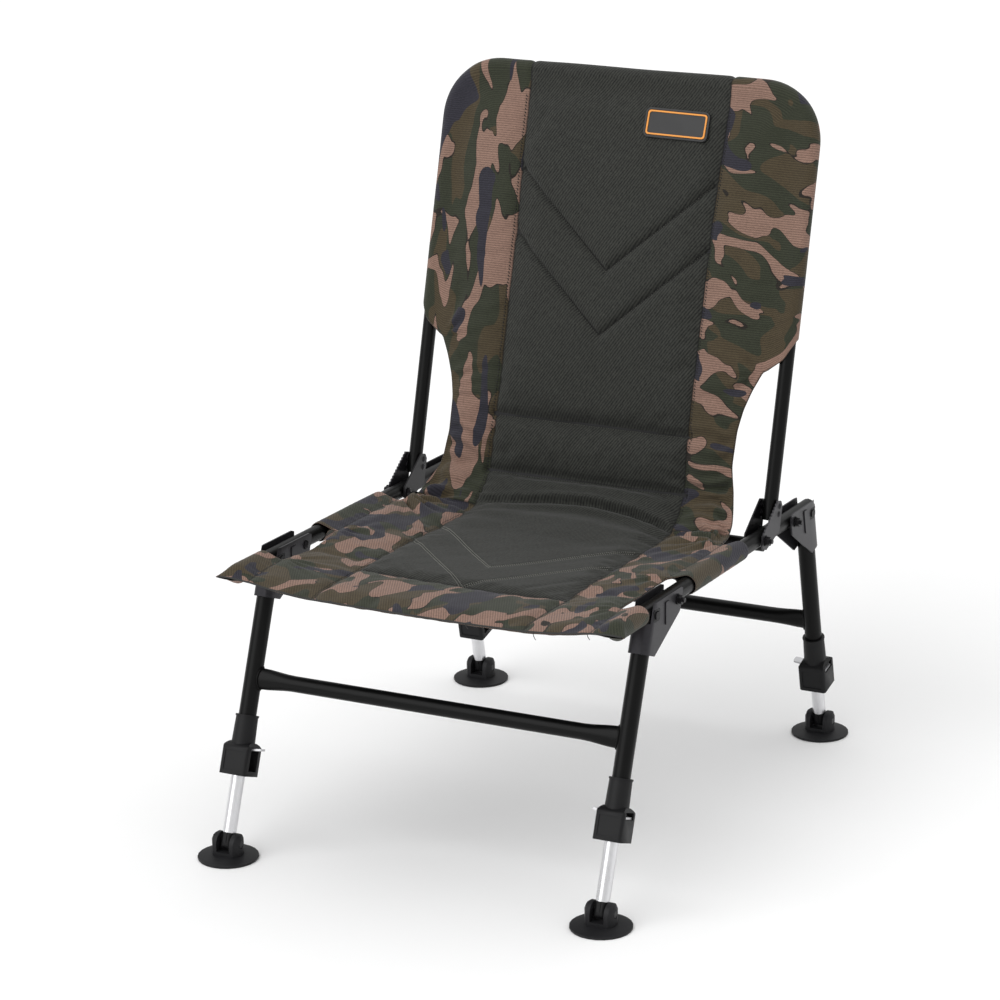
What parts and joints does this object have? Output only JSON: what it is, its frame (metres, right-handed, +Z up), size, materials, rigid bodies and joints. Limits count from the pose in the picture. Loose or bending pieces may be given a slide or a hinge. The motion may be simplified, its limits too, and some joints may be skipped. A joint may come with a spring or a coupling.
{
  "type": "carp fishing chair",
  "caption": "Folding fishing chair: padded camouflage seat and back on a tube frame, with telescopic locking legs on swivelling round feet.",
  "frame": {"origin": "on the ground, under the middle of the outline that the feet span", "axes": "+Z up, +Y towards the back of the chair, +X to the right of someone who looks from the front to the back"},
  "size_m": [0.575, 0.7674, 0.8764],
  "materials": {
    "tube_paint": "satin black powder coat",
    "pressed_steel": "dull grey pressed steel",
    "dark_steel": "black painted pressed steel",
    "zinc_steel": "bright zinc plated",
    "bare_aluminium": "bright bare, drawn streaks along the tube",
    "black_plastic": "matt moulded",
    "foot_plastic": "matt moulded, a little dusty",
    "camouflage_cloth": null
  },
  "bodies": {
    "seat_frame": {"seat_rail_left": "tube_paint", "rail_end_plug_left": "black_plastic", "seat_rail_right": "tube_paint", "rail_end_plug_right": "black_plastic", "seat_crossbar": "tube_paint", "seat_panel": "camouflage_cloth", "front_left_pivot_bolt": "dark_steel", "front_right_pivot_bolt": "dark_steel", "rear_left_pivot_bolt": "dark_steel", "rear_right_pivot_bolt": "dark_steel", "back_left_pivot_bolt": "dark_steel", "back_right_pivot_bolt": "dark_steel"},
    "backrest": {"back_tube": "tube_paint", "back_left_outer_cheek": "pressed_steel", "back_left_inner_cheek": "dark_steel", "back_right_outer_cheek": "pressed_steel", "back_right_inner_cheek": "dark_steel", "back_panel": "camouflage_cloth"},
    "front_legs": {"front_crossbar": "tube_paint", "front_left_leg_tube": "tube_paint", "front_left_leg_bracket": "pressed_steel", "front_left_bracket_pad": "black_plastic", "front_left_lock_housing": "black_plastic", "front_left_lock_spring": "zinc_steel", "front_right_leg_tube": "tube_paint", "front_right_leg_bracket": "pressed_steel", "front_right_bracket_pad": "black_plastic", "front_right_lock_housing": "black_plastic", "front_right_lock_spring": "zinc_steel"},
    "front_left_inner_leg": {"front_left_inner_leg": "bare_aluminium", "front_left_foot_tongue": "black_plastic"},
    "front_left_foot": {"front_left_swivel_foot": "foot_plastic", "front_left_foot_pin": "dark_steel"},
    "front_left_jam_plate": {"front_left_jam_plate": "zinc_steel"},
    "front_right_inner_leg": {"front_right_inner_leg": "bare_aluminium", "front_right_foot_tongue": "black_plastic"},
    "front_right_foot": {"front_right_swivel_foot": "foot_plastic", "front_right_foot_pin": "dark_steel"},
    "front_right_jam_plate": {"front_right_jam_plate": "zinc_steel"},
    "rear_legs": {"rear_crossbar": "tube_paint", "rear_left_leg_tube": "tube_paint", "rear_left_leg_bracket": "pressed_steel", "rear_left_bracket_pad": "black_plastic", "rear_left_lock_housing": "black_plastic", "rear_left_lock_spring": "zinc_steel", "rear_right_leg_tube": "tube_paint", "rear_right_leg_bracket": "pressed_steel", "rear_right_bracket_pad": "black_plastic", "rear_right_lock_housing": "black_plastic", "rear_right_lock_spring": "zinc_steel"},
    "rear_left_inner_leg": {"rear_left_inner_leg": "bare_aluminium", "rear_left_foot_tongue": "black_plastic"},
    "rear_left_foot": {"rear_left_swivel_foot": "foot_plastic", "rear_left_foot_pin": "dark_steel"},
    "rear_left_jam_plate": {"rear_left_jam_plate": "zinc_steel"},
    "rear_right_inner_leg": {"rear_right_inner_leg": "bare_aluminium", "rear_right_foot_tongue": "black_plastic"},
    "rear_right_foot": {"rear_right_swivel_foot": "foot_plastic", "rear_right_foot_pin": "dark_steel"},
    "rear_right_jam_plate": {"rear_right_jam_plate": "zinc_steel"}
  },
  "joints": [
    {"name": "backrest_fold", "type": "hinge", "parent": "seat_frame", "child": "backrest", "pos_m": [0, 0.11816, 0.33614], "axis": [1, 0, 0], "range_deg": [0, 102]},
    {"name": "front_legs_fold", "type": "hinge", "parent": "seat_frame", "child": "front_legs", "pos_m": [0, -0.15666, 0.34603], "axis": [1, 0, 0], "range_deg": [0, 108]},
    {"name": "front_left_leg_slide", "type": "slide", "parent": "front_legs", "child": "front_left_inner_leg", "axis": [0, 0.3633, 0.9317], "range_m": [-0.07, 0.068]},
    {"name": "front_left_foot_swivel", "type": "hinge", "parent": "front_left_inner_leg", "child": "front_left_foot", "pos_m": [-0.25, -0.34622, 0.0195], "axis": [1, 0, 0], "range_deg": [-25, 25]},
    {"name": "front_left_lock_release", "type": "hinge", "parent": "front_legs", "child": "front_left_jam_plate", "pos_m": [-0.2666, -0.30601, 0.12264], "axis": [0, 0.9317, -0.3633], "range_deg": [0, 7], "stiffness_Nm_per_rad": 1.5, "springref_deg": -8.59, "deforming": ["front_left_lock_spring"]},
    {"name": "front_right_leg_slide", "type": "slide", "parent": "front_legs", "child": "front_right_inner_leg", "axis": [0, 0.3633, 0.9317], "range_m": [-0.07, 0.068]},
    {"name": "front_right_foot_swivel", "type": "hinge", "parent": "front_right_inner_leg", "child": "front_right_foot", "pos_m": [0.25, -0.34622, 0.0195], "axis": [1, 0, 0], "range_deg": [-25, 25]},
    {"name": "front_right_lock_release", "type": "hinge", "parent": "front_legs", "child": "front_right_jam_plate", "pos_m": [0.2666, -0.30601, 0.12264], "axis": [0, -0.9317, 0.3633], "range_deg": [0, 7], "stiffness_Nm_per_rad": 1.5, "springref_deg": -8.59, "deforming": ["front_right_lock_spring"]},
    {"name": "rear_legs_fold", "type": "hinge", "parent": "seat_frame", "child": "rear_legs", "pos_m": [0, 0.2156, 0.33264], "axis": [-1, 0, 0], "range_deg": [0, 67]},
    {"name": "rear_left_leg_slide", "type": "slide", "parent": "rear_legs", "child": "rear_left_inner_leg", "axis": [0, -0.2215, 0.9751], "range_m": [-0.1, 0.037]},
    {"name": "rear_left_foot_swivel", "type": "hinge", "parent": "rear_left_inner_leg", "child": "rear_left_foot", "pos_m": [-0.25, 0.34622, 0.0195], "axis": [1, 0, 0], "range_deg": [-25, 25]},
    {"name": "rear_left_lock_release", "type": "hinge", "parent": "rear_legs", "child": "rear_left_jam_plate", "pos_m": [-0.2666, 0.3283, 0.09839], "axis": [0, 0.9751, 0.2215], "range_deg": [0, 7], "stiffness_Nm_per_rad": 1.5, "springref_deg": -8.59, "deforming": ["rear_left_lock_spring"]},
    {"name": "rear_right_leg_slide", "type": "slide", "parent": "rear_legs", "child": "rear_right_inner_leg", "axis": [0, -0.2215, 0.9751], "range_m": [-0.1, 0.037]},
    {"name": "rear_right_foot_swivel", "type": "hinge", "parent": "rear_right_inner_leg", "child": "rear_right_foot", "pos_m": [0.25, 0.34622, 0.0195], "axis": [1, 0, 0], "range_deg": [-25, 25]},
    {"name": "rear_right_lock_release", "type": "hinge", "parent": "rear_legs", "child": "rear_right_jam_plate", "pos_m": [0.2666, 0.3283, 0.09839], "axis": [0, -0.9751, -0.2215], "range_deg": [0, 7], "stiffness_Nm_per_rad": 1.5, "springref_deg": -8.59, "deforming": ["rear_right_lock_spring"]}
  ]
}
